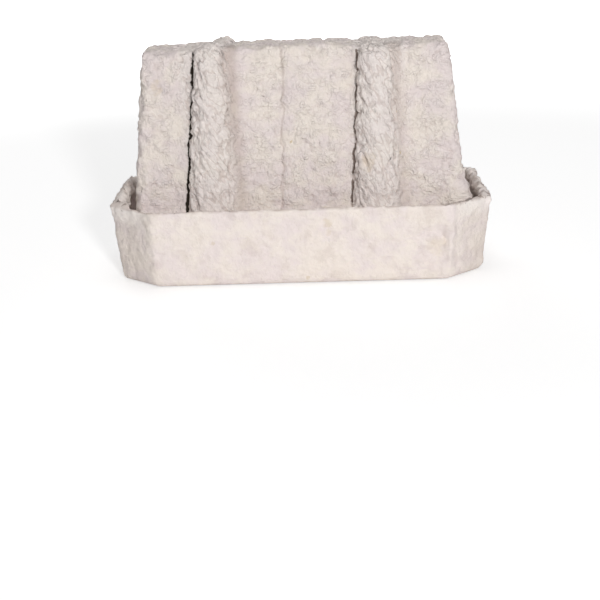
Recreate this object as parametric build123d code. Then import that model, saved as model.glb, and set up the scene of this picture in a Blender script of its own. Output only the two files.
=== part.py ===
from build123d import *
import os

# Moulded pulp shipper insert for two bottle necks: one drawn sheet, all sizes in mm.
# X runs along the row of necks, Y front to back, Z up from the underside of the deck.

# Sheet and folds
wall = 3.0
fold_radius = 2.5
foot_fold = 3.0
hollow_fold = 3.5
rim_break = 0.8

# Two bottles side by side, and the room left round their shoulders
bottle_width = 76.0
bottle_gap = 29.0
shoulder_room = 6.0

# Tower over the necks, leaning inwards all round, its upright and upper edges rounded alike
tower_height = 151.0
tower_lean_x = 14.5
tower_lean_y = 11.0
tower_end_room = 15.0
tower_round = 6.0

# Cups over the shoulders, proud of the tower at the deck and narrowing upwards into the ribs
cup_proud = 13.5
cup_height = 66.0
cup_narrowing = 20.0

# Half round ribs, front and back of each neck, joined by a dome over the top
rib_radius_top = 11.0
rib_radius_foot = 22.0
rib_reach = 13.0
rib_foot_gap = 3.0
rib_toe_in = 1.0
rib_splay = 6.0
dome_rise = 2.5
dome_step = 0.5

# Soft valley down the right root of each rib, and how deep its ends sink into rib and panel
valley_width = 5.0
valley_rise = 4.0
valley_bite = 0.5

# The row of necks stands a little to the left of the middle
row_offset = -3.5

# Clear floor between the tower foot and the skirt, along the sides and at the ends
gutter = 6.0
end_gutter = 4.0

# Skirt round the outside with cut corners, flared outwards from the deck to the raw rim
skirt_height = 53.0
flare_x = 4.5
flare_y = 8.0
rim_cut_x = 28.5
rim_cut_y = 25.0
deck_cut_x = 25.0

# How far the cutting forms run on past the faces that they open
run_on = 20.0

# Follow from the sizes above
bottle_spacing = bottle_width + bottle_gap
cup_radius = bottle_width / 2 + shoulder_room + wall
foot_length = bottle_spacing + 2 * (cup_radius + tower_end_room)
foot_depth = 2 * (cup_radius - cup_proud)
top_length = foot_length - 2 * tower_lean_x
top_depth = foot_depth - 2 * tower_lean_y
rib_foot_y = cup_radius - rib_foot_gap - rib_radius_foot
crown_y = top_depth / 2 + rib_reach - rib_radius_top
crown_z = tower_height + dome_rise - rib_radius_top
deck_length = foot_length + 2 * (end_gutter + wall)
deck_depth = 2 * (cup_radius + gutter + wall)
deck_cut_y = rim_cut_y * deck_cut_x / rim_cut_x
rim_length = deck_length + 2 * flare_x
rim_depth = deck_depth + 2 * flare_y
level_slack = 0.01


def leaning_block(low_corners, high_corners, low, high, inset):
    """Solid between two heights, inside planes through matching sides of two outlines."""
    size = 2 * rim_length
    block = Pos(0, 0, low) * Box(size, size, high - low, align=(Align.CENTER, Align.CENTER, Align.MIN))
    for i, corner in enumerate(low_corners):
        start, end, above = Vector(corner), Vector(low_corners[i - 1]), Vector(high_corners[i])
        side = Plane(start, x_dir=end - start, z_dir=(above - start).cross(end - start))
        block = split(block, side.offset(-inset), keep=Keep.BOTTOM)
    return block


def oblong(length, depth, level):
    """Corners of a rectangle at one height, anticlockwise from the front left."""
    x, y = length / 2, depth / 2
    return [(-x, -y, level), (x, -y, level), (x, y, level), (-x, y, level)]


def cut_oblong(length, depth, cut_x, cut_y, level):
    """Corners of an oblong with cut corners, anticlockwise from the front left."""
    x, y = length / 2, depth / 2
    near_x, near_y = x - cut_x, y - cut_y
    return [
        (-near_x, -y, level), (near_x, -y, level), (x, -near_y, level), (x, near_y, level),
        (near_x, y, level), (-near_x, y, level), (-x, near_y, level), (-x, -near_y, level),
    ]


def skirt_block(low, high, inset, fold):
    """Solid between two heights of the skirt, with its lower and upright edges rounded."""
    deck = cut_oblong(deck_length, deck_depth, deck_cut_x, deck_cut_y, 0)
    rim = cut_oblong(rim_length, rim_depth, rim_cut_x, rim_cut_y, skirt_height)
    block = leaning_block(deck, rim, low, high, inset)
    upper = block.faces().sort_by(Axis.Z)[-1].edges()
    return fillet([edge for edge in block.edges() if edge not in upper], fold)


def panel(inset):
    """Drafted slab of the tower with its upright and upper edges rounded."""
    low = oblong(foot_length, foot_depth, 0)
    high = oblong(top_length, top_depth, tower_height)
    block = leaning_block(low, high, -run_on, tower_height - inset, inset)
    under = block.faces().sort_by(Axis.Z)[0].edges()
    return fillet([edge for edge in block.edges() if edge not in under], tower_round - inset)


def rib_leg(side, face, inset):
    """One half round rib: a cone that widens downwards, turned in one piece with its round crown."""
    crown = Vector(row_offset + side * (bottle_spacing / 2 - rib_toe_in), face * crown_y, crown_z)
    foot = Vector(row_offset + side * (bottle_spacing / 2 + rib_splay), face * rib_foot_y, 0)
    axis = crown - foot
    flare = (rib_radius_foot - rib_radius_top) / axis.length
    narrowing = (1 - flare**2) ** 0.5
    low = rib_radius_foot + flare * run_on - inset
    high = rib_radius_top - inset
    start = flare * low - run_on
    shoulder = (axis.length + flare * high, high * narrowing)
    tip = (axis.length + high, 0)
    side_line = Polyline(tip, (start, 0), (start, low * narrowing), shoulder)
    profile = make_face(side_line + TangentArc(shoulder, tip, tangent=(narrowing, -flare)))
    seam_plane = Plane(foot, x_dir=axis, z_dir=axis.cross(Vector(0, -face, 0)))
    return revolve(seam_plane * profile, Axis(foot, axis))


def rib_loop(side, inset):
    """Front and back rib of one neck, joined by a slightly slimmer bar that shows as the dome."""
    start = (row_offset + side * (bottle_spacing / 2 - rib_toe_in), -crown_y, crown_z)
    bar_plane = Plane(start, x_dir=(0, 0, -1), z_dir=(0, 1, 0))
    bar = Solid.make_cylinder(rib_radius_top - dome_step - inset, 2 * crown_y, bar_plane)
    return rib_leg(side, -1, inset) + rib_leg(side, 1, inset) + bar


def valley_corners(level, side, face, inset):
    """Corners of the valley's filling at one height, anticlockwise from the front left."""
    share = level / crown_z
    middle = row_offset + side * (bottle_spacing / 2 + rib_splay - (rib_splay + rib_toe_in) * share)
    axis_y = rib_foot_y + (crown_y - rib_foot_y) * share
    radius = rib_radius_foot - (rib_radius_foot - rib_radius_top) * share - inset
    panel_y = foot_depth / 2 - tower_lean_y * level / tower_height - inset
    root = (radius**2 - (panel_y - axis_y) ** 2) ** 0.5
    flank = ((radius - valley_bite) ** 2 - (panel_y + valley_rise - axis_y) ** 2) ** 0.5
    sunk_y, out_y = panel_y - valley_bite, panel_y + valley_rise
    foot_x = root + valley_width
    sunk_x = foot_x + (foot_x - flank) * valley_bite / valley_rise
    corners = [
        (middle, face * sunk_y, level), (middle + sunk_x, face * sunk_y, level),
        (middle + flank, face * out_y, level), (middle, face * out_y, level),
    ]
    return corners[::face]


def valley(side, face, inset):
    """Slanted filling between the right flank of one rib and the panel."""
    top = tower_height - tower_round
    low = valley_corners(0, side, face, inset)
    return leaning_block(low, valley_corners(top, side, face, inset), -run_on, top - inset, 0)


def cup(side, inset):
    """Cone over the shoulder of one bottle, running out into the panels and ribs."""
    slope = cup_narrowing / cup_height
    sideways = inset * (1 + slope**2) ** 0.5
    low = cup_radius + slope * run_on - sideways
    high = cup_radius - cup_narrowing - sideways
    cone = Cone(low, high, cup_height + run_on, align=(Align.CENTER, Align.CENTER, Align.MIN))
    return Pos(row_offset + side * bottle_spacing / 2, 0, -run_on) * cone


def tower(inset):
    """The whole tower down to the underside of the deck."""
    body = panel(inset)
    for side in (-1, 1):
        body += cup(side, inset)
        body += rib_loop(side, inset)
        body += valley(side, -1, inset)
        body += valley(side, 1, inset)
    return split(body, Plane.XY, keep=Keep.TOP)


def foot_flare(inset, level, size):
    """Slanted fold where the panels and cups of a tower meet a floor, run on below that floor."""
    meeting = level + size
    lean_x, lean_y = tower_lean_x / tower_height, tower_lean_y / tower_height
    cup_lean = cup_narrowing / cup_height
    length = foot_length - 2 * (meeting * lean_x + inset * (1 + lean_x**2) ** 0.5)
    depth = foot_depth - 2 * (meeting * lean_y + inset * (1 + lean_y**2) ** 0.5)
    wide = oblong(length + 2 * size, depth + 2 * size, level)
    block = leaning_block(wide, oblong(length, depth, meeting), level - wall / 2, meeting + size, 0)
    ends = block.faces().sort_by(Axis.Z)[0].edges() + block.faces().sort_by(Axis.Z)[-1].edges()
    flare = fillet([edge for edge in block.edges() if edge not in ends], tower_round + size)
    radius = cup_radius - meeting * cup_lean - inset * (1 + cup_lean**2) ** 0.5
    cone = Cone(radius + size + wall / 2, radius - size, 2 * size + wall / 2)
    for side in (-1, 1):
        flare += Pos(row_offset + side * bottle_spacing / 2, 0, meeting - wall / 4) * cone
    return flare


def tray():
    """Skirt and deck without the tower."""
    inside = skirt_block(wall, skirt_height + run_on, wall, fold_radius)
    return skirt_block(0, skirt_height, 0, fold_radius + wall) - inside


def insert():
    """The whole moulding: skirt, deck and tower as one sheet, open underneath."""
    sheet = tray() + (tower(0) + foot_flare(0, wall, foot_fold))
    sheet -= tower(wall) + foot_flare(wall, 0, hollow_fold)
    rim = sheet.faces().filter_by_position(Axis.Z, skirt_height - level_slack, skirt_height + level_slack)
    return chamfer(rim[0].edges(), rim_break)


os.makedirs("parts", exist_ok=True)
pulp_insert = insert()
pulp_insert.label = "pulp_insert"
export_step(pulp_insert, "parts/pulp_insert.step")
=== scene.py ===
from math import radians

import bmesh
import bpy
from mathutils import Euler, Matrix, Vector


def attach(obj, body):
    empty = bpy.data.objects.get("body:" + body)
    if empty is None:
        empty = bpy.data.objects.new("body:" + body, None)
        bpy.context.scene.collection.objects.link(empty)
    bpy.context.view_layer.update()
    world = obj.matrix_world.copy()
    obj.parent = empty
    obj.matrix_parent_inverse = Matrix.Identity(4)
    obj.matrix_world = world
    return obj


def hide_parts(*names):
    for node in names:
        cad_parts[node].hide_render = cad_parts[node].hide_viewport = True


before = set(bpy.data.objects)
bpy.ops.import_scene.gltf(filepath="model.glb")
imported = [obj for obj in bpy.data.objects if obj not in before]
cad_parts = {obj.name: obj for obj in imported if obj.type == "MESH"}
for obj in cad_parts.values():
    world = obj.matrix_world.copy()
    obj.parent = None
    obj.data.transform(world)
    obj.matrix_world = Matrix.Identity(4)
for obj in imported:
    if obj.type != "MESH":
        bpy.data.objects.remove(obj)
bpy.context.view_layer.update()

# Camera
# A longish lens from a little above, level with the front of the moulding and turned a
# touch clockwise. The picture is square.
camera_data = bpy.data.cameras.new("camera")
camera_data.sensor_width = 36.0
camera_data.lens = 73.84
camera = bpy.data.objects.new("camera", camera_data)
camera.location = (0.0026, -0.8311, 0.2493)
camera.rotation_euler = Euler((radians(71.438), radians(1.623), radians(-0.182)))
bpy.context.scene.collection.objects.link(camera)
bpy.context.scene.camera = camera


# Pulp sheet
# One sheet of moulded paper pulp about 3 mm thick, drawn from wet fibre on a wire mould and
# dried: a flared skirt, a flat deck and a tower with four ribs. The face away from the mould
# shrank into bark-like wrinkles on the tower, and stayed smoother on the skirt.
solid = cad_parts["pulp_insert"]
voxel = 0.0012
triangle_goal = 192000
millimetre = 0.001

# Attribute that keeps each point's place before the sheet is warped.
rest_place = "rest_place"

# Where things lie on the sheet, in millimetres. A line is its x at the deck and its lean with z.
tower_end = 113.0
tower_side = 49.0
tower_corner = 149.0
left_rib_x = -58.0
right_rib_x = 51.5
left_crack_line = (-81.9, 0.1135)
right_crack_line = (35.3, 0.012)
left_valley_line = (-38.5, -0.022)
right_valley_line = (76.0, -0.098)
seam_line = (-15.2, 0.042)
fold_start = (76.0, 73.0)
fold_fall = 0.40
left_dome_x = -56.0
right_dome_x = 48.0
skirt_corner_x = 97.5
skirt_groove_x = 93.0
dent_place = (86.0, 24.0)
dent_radius = 13.0

# Sizes of the folds, creases and fine creases, and how wide the sharp valleys between them are.
fold_size = 12.0
crease_size = 6.0
hair_size = 2.8
fold_valley = 0.11
crease_valley = 0.10
patch_size = 13.0

# How often the smoothed copy that fills the rib roots is smoothed.
root_smoothing = 22


class Flow:
    """One value in a node tree, so that a rule for shape or colour reads as plain arithmetic."""

    def __init__(self, tree, socket=None):
        self.tree = tree
        self.socket = socket

    def node(self, kind, inputs=None, output=0, **settings):
        made = self.tree.nodes.new(kind)
        for name, value in settings.items():
            setattr(made, name, value)
        for key, value in (inputs or {}).items():
            if isinstance(value, Flow):
                self.tree.links.new(value.socket, made.inputs[key])
            else:
                made.inputs[key].default_value = value
        return Flow(self.tree, made.outputs[output])

    def sum_of(self, operation, first, second):
        vectors = [isinstance(v, Flow) and v.socket.type in ("VECTOR", "RGBA") for v in (first, second)]
        if not any(vectors):
            return self.node("ShaderNodeMath", {0: first, 1: second}, operation=operation)
        if all(vectors) or operation != "MULTIPLY":
            sides = [v if isinstance(v, Flow) else (v,) * 3 for v in (first, second)]
            return self.node("ShaderNodeVectorMath", dict(enumerate(sides)), operation=operation)
        vector, factor = (first, second) if vectors[0] else (second, first)
        if isinstance(factor, tuple):
            return self.node("ShaderNodeVectorMath", {0: vector, 1: factor}, operation="MULTIPLY")
        return self.node("ShaderNodeVectorMath", {0: vector, "Scale": factor}, operation="SCALE")

    def __add__(self, other):
        return self.sum_of("ADD", self, other)

    def __radd__(self, other):
        return self.sum_of("ADD", other, self)

    def __sub__(self, other):
        return self.sum_of("SUBTRACT", self, other)

    def __rsub__(self, other):
        return self.sum_of("SUBTRACT", other, self)

    def __mul__(self, other):
        return self.sum_of("MULTIPLY", self, other)

    def __rmul__(self, other):
        return self.sum_of("MULTIPLY", other, self)

    def size(self):
        return self.node("ShaderNodeMath", {0: self}, operation="ABSOLUTE")

    def least(self, other):
        return self.sum_of("MINIMUM", self, other)

    def most(self, other):
        return self.sum_of("MAXIMUM", self, other)

    def part(self, axis):
        return self.node("ShaderNodeSeparateXYZ", {0: self}, output="XYZ".index(axis))

    def blend(self, share, under, over):
        """A share of one colour laid over another."""
        return self.node("ShaderNodeMix", {0: share, 6: under, 7: over}, output=2, data_type="RGBA")

    def rise(self, low, high):
        """0 below low, 1 above high, eased between."""
        bounds = {"From Min": low, "From Max": high}
        return self.node("ShaderNodeMapRange", {"Value": self, **bounds}, interpolation_type="SMOOTHSTEP")

    def bell(self, middle, half_width):
        """1 at the middle, easing to 0 half a width to each side."""
        return 1 - (self - middle).size().rise(0.0, half_width)

    def grain(self, scale, detail=2.0, roughness=0.5, output=0):
        """Cloudy noise about 0.5, one cloud in so many millimetres."""
        inputs = {"Vector": self * (1 / scale), "Scale": 1.0, "Detail": detail, "Roughness": roughness}
        return self.node("ShaderNodeTexNoise", inputs, output=output)

    def sway(self, scale, detail=1.0, roughness=0.5):
        """The same noise about 0, for what moves both ways."""
        return self.grain(scale, detail, roughness) - 0.5

    def folds(self, scale, width):
        """Rounded folds of about so many millimetres, 0 in the sharp valleys between them."""
        bent = self + (self.grain(1.9 * scale, output=1) - 0.5) * (1.1 * scale)
        return bent.sway(scale).size().rise(0.0, width)


def merged_copy(source, name):
    """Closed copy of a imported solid's mesh, whose triangles are loose."""
    mesh = source.data.copy()
    mesh.name = name
    work = bmesh.new()
    work.from_mesh(mesh)
    bmesh.ops.remove_doubles(work, verts=work.verts, dist=1e-6)
    work.to_mesh(mesh)
    work.free()
    copy = bpy.data.objects.new(name, mesh)
    bpy.context.scene.collection.objects.link(copy)
    return copy


def settle(thing):
    """Keep what a piece's modifiers show as its own mesh, and drop the modifiers."""
    seen = thing.evaluated_get(bpy.context.evaluated_depsgraph_get())
    mesh = bpy.data.meshes.new_from_object(seen)
    thing.modifiers.clear()
    thing.data = mesh


def tower_share(q):
    """1 on the tower, 0 on the deck and skirt."""
    x, y, z = q.part("X"), q.part("Y"), q.part("Z")
    past_ends = (x.size() - tower_end).most(y.size() - tower_side)
    past = past_ends.most(x.size() + y.size() - tower_corner)
    return (1 - past.rise(-3.0, 1.5)) * z.rise(2.0, 14.0)


def front_share(q):
    """1 on the front half of the moulding, 0 on the back half."""
    return 1 - q.part("Y").rise(-8.0, 0.0)


def line_x(q, line):
    """How far right a leaning line lies at each height."""
    foot, lean = line
    return q.part("Z") * lean + foot


def crack(q, line, half_width):
    """Narrow crease up the left root of a front rib, 1 in its middle: cut in as a groove, and painted
    dark as its shadow.
    """
    wander = q.sway(11.0, 2.0) * 2.2 + q.sway(2.6) * 0.9
    return (q.part("X") + wander).bell(line_x(q, line), half_width) * front_share(q) * tower_share(q)


def left_crack(q, half_width):
    return crack(q, left_crack_line, half_width) * (1 - q.part("Z").rise(147.0, 152.0))


def right_crack(q, half_width):
    broken = 0.35 + 0.65 * q.grain(8.0, 1.0).rise(0.36, 0.50)
    return crack(q, right_crack_line, half_width) * (1 - q.part("Z").rise(148.0, 152.0)) * broken


def valley(q, line, half_width):
    """Soft hollow down the right root of a front rib, 1 in its middle."""
    wander = q.sway(14.0) * 4.0
    return (q.part("X") + wander).bell(line_x(q, line), half_width) * front_share(q) * tower_share(q)


def beside_seam(q):
    """Distance to the right of the shallow wavy seam up the middle of the front."""
    foot, lean = seam_line
    wave = q.sway(16.0) * 7.0 + q.sway(5.0) * 2.5
    return q.part("X") + wave - foot - q.part("Z") * lean


def end_fold(q):
    """Height above the slanting fold across the foot of the front to the right of the ribs."""
    start_x, start_z = fold_start
    wave = q.sway(7.0) * 5.0
    return q.part("Z") + wave - start_z + (q.part("X") - start_x) * fold_fall


def rim_share(q):
    """1 at the raw rim of the skirt, fading out a little below it."""
    return q.part("Z").rise(38.0, 50.0) * (1 - tower_share(q))


def spot(q, x, z, radius):
    """Round mark on the front, ragged at its edge and 1 in its middle."""
    across, up = q.part("X") - x, q.part("Z") - z
    ragged = (across * across + up * up * 0.6) * (1 / radius**2) + q.sway(0.8 * radius, 2.0) * 2.4
    return (1 - ragged.rise(0.1, 1.0)) * front_share(q)


def corner_line(q, x, half_width, z, half_height):
    """Wavering upright line at the right corner of the skirt's front, 1 in its middle."""
    across = (q.part("X") + q.sway(9.0) * 5.0).bell(x, half_width)
    return across * q.part("Z").bell(z, half_height) * front_share(q) * (1 - tower_share(q))


def rib_share(q):
    """1 on the four ribs, 0 between them."""
    left = (q.part("X") - left_rib_x).size()
    right = (q.part("X") - right_rib_x).size()
    return 1 - left.least(right).rise(13.0, 19.0)


def wrinkles(q, scale, width):
    """Folds that lean down to the right on the ribs and run every way between them."""
    x, y, z = q.part("X"), q.part("Y"), q.part("Z")
    leaning = q.node("ShaderNodeCombineXYZ", {"X": x + z * 0.55, "Y": y, "Z": z * 0.36})
    ribs = rib_share(q)
    between = (q * (0.8, 0.8, 1.0)).folds(scale, width)
    return leaning.folds(0.8 * scale, width) * ribs + between * (1 - ribs)


def patches(q, scale):
    """1 where the surface wrinkled and 0 where it dried smooth."""
    return q.grain(scale, 2.0).rise(0.42, 0.60)


def softened(flow, sheet, place, outward):
    """The sheet with the sharp roots of its ribs filled, and its true place kept as an attribute."""
    # Of a smoothed copy, only the moves outwards are kept, and mostly on the right of each rib.
    steps = {"Value": place, "Iterations": root_smoothing}
    smooth = flow.node("GeometryNodeBlurAttribute", steps, data_type="FLOAT_VECTOR")
    moved_out = {0: smooth - place, 1: outward}
    lift = flow.node("ShaderNodeVectorMath", moved_out, output="Value", operation="DOT_PRODUCT")
    on_right = outward.part("X").rise(-0.25, 0.25)
    kept = flow.node(
        "GeometryNodeStoreNamedAttribute",
        {"Geometry": sheet, "Name": rest_place, "Value": place},
        data_type="FLOAT_VECTOR",
        domain="POINT",
    )
    fill = outward * (lift.most(0.0) * (0.15 + 0.85 * on_right))
    return flow.node("GeometryNodeSetPosition", {"Geometry": kept, "Offset": fill})


def rolled_rim(q, facing):
    """How far the inner faces of the rim's ends rolled inwards as they dried, 1 at the left end."""
    x = q.part("X")
    left = (1 - x.rise(-120.0, -108.0)) * facing.rise(0.1, 0.7)
    right = x.rise(108.0, 120.0) * (0.0 - facing).rise(0.1, 0.7)
    return (left + right * 0.6) * rim_share(q)


def relief(q, outward, inputs):
    """How many millimetres each point stands out from the softened sheet."""
    x, z = q.part("X"), q.part("Z")
    tower, ribs, front = tower_share(q), rib_share(q), front_share(q)
    skirt = 1 - tower
    upright = x.size().rise(90.0, 99.0) * q.part("Y").size().rise(12.0, 20.0)
    brinks = upright.most(z.rise(140.0, 150.0))
    lively = tower * (0.52 + 0.48 * ribs.most(brinks * 0.7))
    wrinkled = 0.3 + 0.7 * patches(q, patch_size).most(ribs)
    large = wrinkles(q, fold_size, fold_valley) - 0.6
    middling = (wrinkles(q, crease_size, crease_valley) - 0.6) * wrinkled
    seam, foot = beside_seam(q), end_fold(q)
    right_panel = x.rise(72.0, 78.0) * (1 - x.rise(104.0, 110.0)) * tower * front
    ends = x.size().rise(106.0, 120.0) * rim_share(q)
    rolled = rolled_rim(q, outward.part("X"))
    pits = q.grain(4.0, 2.0).rise(0.54, 0.62) * rolled
    # The underside lies flat on what carries it.
    lying = (0.0 - outward.part("Z")).rise(0.5, 0.9) * (1 - z.rise(0.5, 6.0))
    # The right end of the front was pushed in, and its corner stands proud of the dent.
    dent = spot(q, *dent_place, dent_radius) * skirt
    corner = corner_line(q, skirt_corner_x, 3.5, 28.0, 26.0)
    raised = (
        large * (0.08 + 0.92 * lively) * inputs["Fold"]
        + middling * (0.10 + 1.10 * lively) * inputs["Crease"]
        + q.sway(30.0) * inputs["Swell"]
        + q.sway(14.0, 3.0) * skirt * 2.4
        + q.sway(8.0, 3.0) * tower * 3.4
        + q.sway(3.0, 3.0, 0.6) * (0.25 + 0.75 * tower)
        + (seam.rise(-1.5, 3.0) * (1 - x.rise(24.0, 33.0)) * 0.9 - seam.bell(0.0, 3.0)) * tower * front
        + ((1 - foot.rise(-5.0, 1.0)) * 1.2 - foot.bell(0.5, 2.5) * 0.7) * right_panel
        + z.bell(66.0, 34.0) * x.rise(104.0, 110.0) * tower * 1.2
        + z.bell(46.0, 20.0) * x.rise(90.0, 108.0) * tower * 5.0
        + q.sway(6.0, 2.0) * skirt * 1.9
        + corner * 2.4 - dent * 1.8 - pits * 3.0
        + (q.grain(5.0, 2.0) - 0.45) * ends * 4.0
        + rolled * (1.0 + q.grain(6.0, 2.0) * 8.0)
        - (left_crack(q, 1.7) + right_crack(q, 1.3)) * inputs["Crack"]
    )
    return raised * (1 - lying)


def drift(flow, q, skew):
    """How many millimetres the sheet dried askew, sideways and up."""
    x, z = q.part("X"), q.part("Z")
    tower = tower_share(q)
    beside_left = 1 - (x - left_rib_x).size().rise(18.0, 44.0)
    beside_right = 1 - (x - right_rib_x).size().rise(18.0, 44.0)
    leaning = beside_left * (z - 56.0) * -0.027 + beside_right * (z - 98.0) * 0.040
    # The left end of the tower leans out, the left loop runs back askew, and the right one sank.
    wider = (1 - x.rise(-104.0, -84.0)) * tower * -1.2
    back = q.part("Y").rise(-24.0, 10.0)
    askew = (x - left_dome_x).bell(0.0, 30.0) * back * z.rise(132.0, 146.0) * 9.5
    lower = (x - right_dome_x).bell(0.0, 22.0) * z.rise(145.0, 152.0) * -2.4
    # The top sank to the left of the left rib, and the rim is uneven.
    sunk = (1 - x.rise(-82.0, -66.0)) * x.rise(-104.0, -92.0) * z.rise(110.0, 150.0) * -1.4
    ragged = (q.sway(22.0, 2.0) * 2.4 + q.sway(4.0) * 1.0) * rim_share(q)
    sideways = leaning * tower * skew + askew + wider
    return flow.node("ShaderNodeCombineXYZ", {"X": sideways, "Z": sunk + ragged + lower})


def pulp_rule():
    """Node tree that softens the rib roots, warps the sheet and wrinkles it."""
    tree = bpy.data.node_groups.new("pulp_rule", "GeometryNodeTree")
    sockets = tree.interface
    sockets.new_socket("Sheet", in_out="OUTPUT", socket_type="NodeSocketGeometry")
    sockets.new_socket("Sheet", in_out="INPUT", socket_type="NodeSocketGeometry")
    for name in ("Fold", "Crease", "Swell", "Crack", "Skew"):
        sockets.new_socket(name, in_out="INPUT", socket_type="NodeSocketFloat")
    sockets.new_socket("Pulp", in_out="INPUT", socket_type="NodeSocketMaterial")
    given = tree.nodes.new("NodeGroupInput")
    taken = tree.nodes.new("NodeGroupOutput")
    flow = Flow(tree)
    inputs = {s.name: Flow(tree, s) for s in given.outputs if s.name}
    place = flow.node("GeometryNodeInputPosition")
    outward = flow.node("GeometryNodeInputNormal")
    sheet = softened(flow, inputs["Sheet"], place, outward)
    kept = flow.node("GeometryNodeInputNamedAttribute", {"Name": rest_place}, data_type="FLOAT_VECTOR")
    q = kept * 1000.0
    offset = (outward * relief(q, outward, inputs) + drift(flow, q, inputs["Skew"])) * millimetre
    moved = flow.node("GeometryNodeSetPosition", {"Geometry": sheet, "Offset": offset})
    whole = flow.node("GeometryNodeRealizeInstances", {0: moved})
    whole = flow.node("GeometryNodeSetMaterial", {"Geometry": whole, "Material": inputs["Pulp"]})
    tree.links.new(whole.socket, taken.inputs[0])
    return tree


pinkish = (0.805, 0.712, 0.697, 1)
cream = (0.865, 0.784, 0.712, 1)
pale = (0.860, 0.785, 0.745, 1)
# Painted highlight for the crests of the creases, and painted light on the inner ends of the rim.
white = (0.930, 0.875, 0.835, 1)
# Dark flecks and darker tone on the skirt, and painted shade in creases, hollows, the seam, the corner
# groove, on the skirt's ends and along the rim's top edge.
fleck_and_shade = (0.48, 0.38, 0.335, 1)
# Near black for the painted shadow in the crease up the left rib's root.
crease_shadow_black = (0.022, 0.015, 0.010, 1)
# Dark for painted shade in the creases up the rib roots and in the gap at each end of the rim.
brown = (0.15, 0.10, 0.075, 1)
ochre = (0.66, 0.54, 0.38, 1)

# Stains and specks on the front, and painted shade in the dent at its right end: x, z and radius in
# millimetres, and how strong.
marks = (
    (46.0, 77.0, 6.0, 0.40),
    (-91.0, 128.0, 5.0, 0.35),
    (16.9, 43.0, 3.4, 0.35),
    (17.6, 36.0, 2.4, 0.25),
    (63.5, 108.0, 0.7, 1.0),
    (66.8, 81.0, 1.0, 0.9),
    (-57.7, 31.3, 1.6, 0.4),
    # Painted shade in the dent at the right end of the front.
    (88.0, 25.0, 7.0, 0.22),
    (3.4, 4.9, 1.8, 0.5),
    (-5.0, 90.0, 0.9, 1.0),
)


def pulp_clouds(flow, q):
    """Soft patches of pinkish grey and cream, with the streaks and flecks of the skirt."""
    tower = tower_share(q)
    skirt = 1 - tower
    colour = flow.blend(q.grain(15.0, 3.0).rise(0.36, 0.66), pinkish, cream)
    paler = skirt * 0.30 + rib_share(q) * tower * 0.65 + q.grain(6.0, 2.0).rise(0.5, 0.8) * 0.35
    colour = flow.blend(paler, colour, pale)
    streaks = (q * (0.4, 0.4, 1.0)).grain(4.0, 4.0, 0.65).rise(0.50, 0.70)
    colour = flow.blend(streaks * skirt * 0.7, colour, pinkish)
    flecks = q.grain(2.4, 3.0, 0.6).rise(0.60, 0.72) * q.grain(11.0, 1.0).rise(0.45, 0.60)
    colour = flow.blend(flecks * skirt * 0.22, colour, fleck_and_shade)
    colour = flow.blend(q.grain(24.0, 3.0).rise(0.50, 0.62) * skirt * 0.70, colour, cream)
    return flow.blend(q.grain(11.0, 4.0, 0.6).rise(0.50, 0.66) * skirt * 0.18, colour, fleck_and_shade)


def pulp_marks(flow, q, colour):
    """The colour with painted shade on the skirt's ends, in the dark patches at the rim's ends, along the
    seam, in the hollows, the corner groove and along the rim's top edge, painted light on the rim's inner
    ends, the stains, and painted shadow in the creases up the rib roots.
    """
    tower, front, rim = tower_share(q), front_share(q), rim_share(q)
    skirt = 1 - tower
    z = q.part("Z")
    ends = q.part("X").size().rise(98.0, 110.0) * skirt
    # Painted shade on the skirt's cut ends.
    colour = flow.blend(ends * (1 - rim) * 0.16, colour, fleck_and_shade)
    # Painted light on the inner faces of the rim's ends, which lie in the tower's shade.
    colour = flow.blend(ends * rim * 0.5, colour, white)
    # Painted shade: dark patches near the top of the rim's ends, where the gap between rim and tower lies
    # in shadow.
    gap_shade = ends * rim * q.grain(4.0, 2.0).rise(0.57, 0.62) * z.rise(49.5, 52.0)
    colour = flow.blend(gap_shade * 0.6, colour, brown)
    # Painted shade along the wavy seam up the middle of the front.
    colour = flow.blend(beside_seam(q).bell(0.3, 1.2) * tower * front * 0.38, colour, fleck_and_shade)
    # Painted shade in the soft hollows down the right roots of the front ribs, darker higher up.
    left_hollow = valley(q, left_valley_line, 7.5) * 1.35
    hollows = left_hollow.most(valley(q, right_valley_line, 7.0))
    colour = flow.blend(hollows * (0.30 + 0.12 * z.rise(60.0, 130.0)), colour, fleck_and_shade)
    # Painted shade in the groove at the right corner of the skirt's front.
    groove = corner_line(q, skirt_groove_x, 2.2, 30.0, 20.0)
    colour = flow.blend(groove * 0.30, colour, fleck_and_shade)
    # Painted shadow, a thin broken line along the top edge of the skirt.
    rim_top_shadow = z.rise(51.4, 52.8) * skirt * q.grain(9.0, 2.0).rise(0.40, 0.56)
    colour = flow.blend(rim_top_shadow * 0.45, colour, fleck_and_shade)
    for x, height, radius, strength in marks:
        colour = flow.blend(spot(q, x, height, radius) * strength, colour, ochre)
    # Painted shadow in the creases up the left roots of the front ribs, near black in the middle of the
    # left one.
    colour = flow.blend(left_crack(q, 1.8) * 0.25, colour, brown)
    colour = flow.blend(right_crack(q, 1.2).rise(0.2, 0.7) * 0.85, colour, brown)
    return flow.blend(left_crack(q, 1.7).rise(0.35, 0.65), colour, crease_shadow_black)


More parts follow.
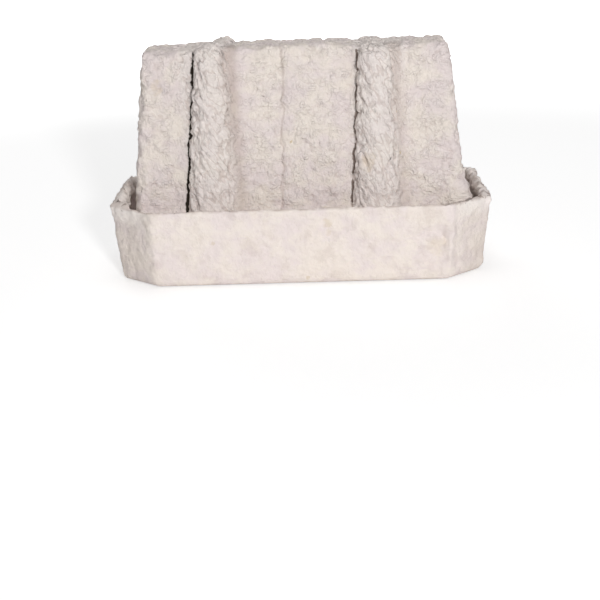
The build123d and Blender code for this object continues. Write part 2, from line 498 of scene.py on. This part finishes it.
def pulp_material():
    """Off-white moulded paper: cloudy pinkish grey and cream, felted, with painted shade in its creases
    and painted highlights on their crests.
    """
    material = bpy.data.materials.new("moulded_pulp")
    material.use_nodes = True
    tree = material.node_tree
    tree.nodes.clear()
    flow = Flow(tree)
    q = flow.node("ShaderNodeAttribute", attribute_name=rest_place, output="Vector") * 1000.0
    tower = tower_share(q)
    ribs = rib_share(q) * tower
    lively = tower * (0.4 + 0.6 * rib_share(q))
    middling = wrinkles(q, crease_size, crease_valley)
    fine = wrinkles(q, hair_size, crease_valley)
    creased = patches(q, patch_size).most(ribs * 0.8)
    haired = patches(q, 8.0) * (1 - 0.75 * ribs)
    colour = pulp_clouds(flow, q)
    # Painted highlight on the crests of the creases and painted shade in their valleys, stronger on the
    # tower and most on the ribs.
    ridge_highlights = (middling.bell(0.75, 0.35) * creased).most(fine.bell(0.75, 0.35) * haired)
    colour = flow.blend(ridge_highlights * (0.08 + 0.50 * lively), colour, white)
    colour = flow.blend((1 - middling).rise(0.50, 1.0) * creased * (0.05 + 0.32 * lively), colour, fleck_and_shade)
    colour = flow.blend((1 - fine).rise(0.45, 1.0) * haired * (0.04 + 0.22 * lively), colour, fleck_and_shade)
    colour = pulp_marks(flow, q, colour)
    # Heights of the felt, the fibres, the fine creases and the lumps, for the bump.
    fibre = (q * (1.0, 1.0, 0.35)).grain(0.9, 3.0, 0.6) * 0.12
    felt = q.grain(0.45, 2.0, 0.7) * 0.08
    crinkle = q.sway(2.4, 4.0, 0.65) * tower * 1.6
    creases = fine * haired * (0.08 + 0.85 * lively)
    lumps = q.sway(4.5, 3.0, 0.6) * 1.5 * (0.9 + 1.3 * lively)
    height = crinkle + felt + fibre + creases + lumps
    bump = flow.node("ShaderNodeBump", {"Height": height, "Distance": 0.0011, "Strength": 0.9})
    skin = flow.node(
        "ShaderNodeBsdfPrincipled",
        {"Base Color": colour, "Roughness": 0.92, "Specular IOR Level": 0.25, "Normal": bump},
    )
    out = tree.nodes.new("ShaderNodeOutputMaterial")
    tree.links.new(skin.socket, out.inputs["Surface"])
    return material


pulp = merged_copy(solid, "pulp_sheet")
remesh = pulp.modifiers.new("even", "REMESH")
remesh.mode = "VOXEL"
remesh.voxel_size = voxel
settle(pulp)
tree = pulp_rule()
shaping = pulp.modifiers.new("shaping", "NODES")
shaping.node_group = tree
values = {"Fold": 1.3, "Crease": 0.9, "Swell": 1.2, "Crack": 1.3, "Skew": 1.0, "Pulp": pulp_material()}
for item in tree.interface.items_tree:
    if item.in_out == "INPUT" and item.name in values:
        shaping[item.identifier] = values[item.name]
settle(pulp)
count = sum(len(p.vertices) - 2 for p in pulp.data.polygons)
thin = pulp.modifiers.new("thin", "DECIMATE")
thin.ratio = min(1.0, triangle_goal / count)
settle(pulp)
pulp.data.shade_smooth()
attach(pulp, "root")
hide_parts("pulp_insert")


# Studio
# A plain white floor that runs out of the picture and pale daylight all round. A soft key lamp
# stands to the right of the camera, so that shadows fall to the left, with a broad lamp overhead
# and a weak one behind.
def seen_directly(flow):
    """1 where the camera looks, straight or by way of gloss or glass, else 0."""
    path = flow.tree.nodes.new("ShaderNodeLightPath")
    names = ("Is Camera Ray", "Is Glossy Ray", "Is Transmission Ray")
    camera_ray, gloss_ray, glass_ray = (Flow(flow.tree, path.outputs[name]) for name in names)
    return camera_ray.most(gloss_ray).most(glass_ray)


world = bpy.data.worlds.new("daylight")
world.use_nodes = True
bpy.context.scene.world = world
day = Flow(world.node_tree)
sky = world.node_tree.nodes["Background"]
sky.inputs["Color"].default_value = (1.0, 1.0, 1.0, 1)
daylight_level = 0.25
strength = daylight_level + seen_directly(day) * (1 - daylight_level)
world.node_tree.links.new(strength.socket, sky.inputs["Strength"])

floor_drop = 0.0004
reach = 6.0
floor_mesh = bpy.data.meshes.new("floor")
floor_mesh.from_pydata(
    [(-reach, -reach, 0), (reach, -reach, 0), (reach, reach, 0), (-reach, reach, 0)], [], [(0, 1, 2, 3)]
)
floor = bpy.data.objects.new("floor", floor_mesh)
floor.location.z = -floor_drop
bpy.context.scene.collection.objects.link(floor)
paper = bpy.data.materials.new("floor_paper")
paper.use_nodes = True
paper.node_tree.nodes.clear()
sheet = Flow(paper.node_tree)
# Seen by the camera, the floor glows a little, and more from half a metre outwards.
near_glow = 0.16
added_glow = 0.40
floor_place = sheet.node("ShaderNodeTexCoord", output="Object")
distance = sheet.node("ShaderNodeVectorMath", {0: floor_place}, output="Value", operation="LENGTH")
glow = seen_directly(sheet) * (near_glow + added_glow * distance.rise(0.5, 1.6))
matt = sheet.node("ShaderNodeBsdfDiffuse", {"Color": (0.9, 0.9, 0.9, 1)})
bright = sheet.node("ShaderNodeEmission", {"Color": (1.0, 1.0, 1.0, 1), "Strength": 3.05})
mixed = sheet.node("ShaderNodeMixShader", {0: glow, 1: matt, 2: bright})
surface = paper.node_tree.nodes.new("ShaderNodeOutputMaterial").inputs["Surface"]
paper.node_tree.links.new(mixed.socket, surface)
floor_mesh.materials.append(paper)

# Each lamp's name, place, width across and power.
aimed_at = Vector((0.0, 0.0, 0.07))
lamps = (
    ("key", (0.52, -2.1, 0.68), 0.22, 30.0),
    ("overhead", (0.0, 0.2, 1.8), 1.2, 6.0),
    ("fill", (-0.7, 2.0, 0.9), 1.4, 11.0),
)
for name, place, size, energy in lamps:
    lamp_data = bpy.data.lights.new(name, "AREA")
    lamp_data.shape = "DISK"
    lamp_data.size = size
    lamp_data.energy = energy
    lamp = bpy.data.objects.new(name, lamp_data)
    lamp.location = place
    aim = aimed_at - lamp.location
    lamp.rotation_euler = aim.to_track_quat("-Z", "Y").to_euler()
    bpy.context.scene.collection.objects.link(lamp)

bpy.context.scene.view_settings.view_transform = "Standard"
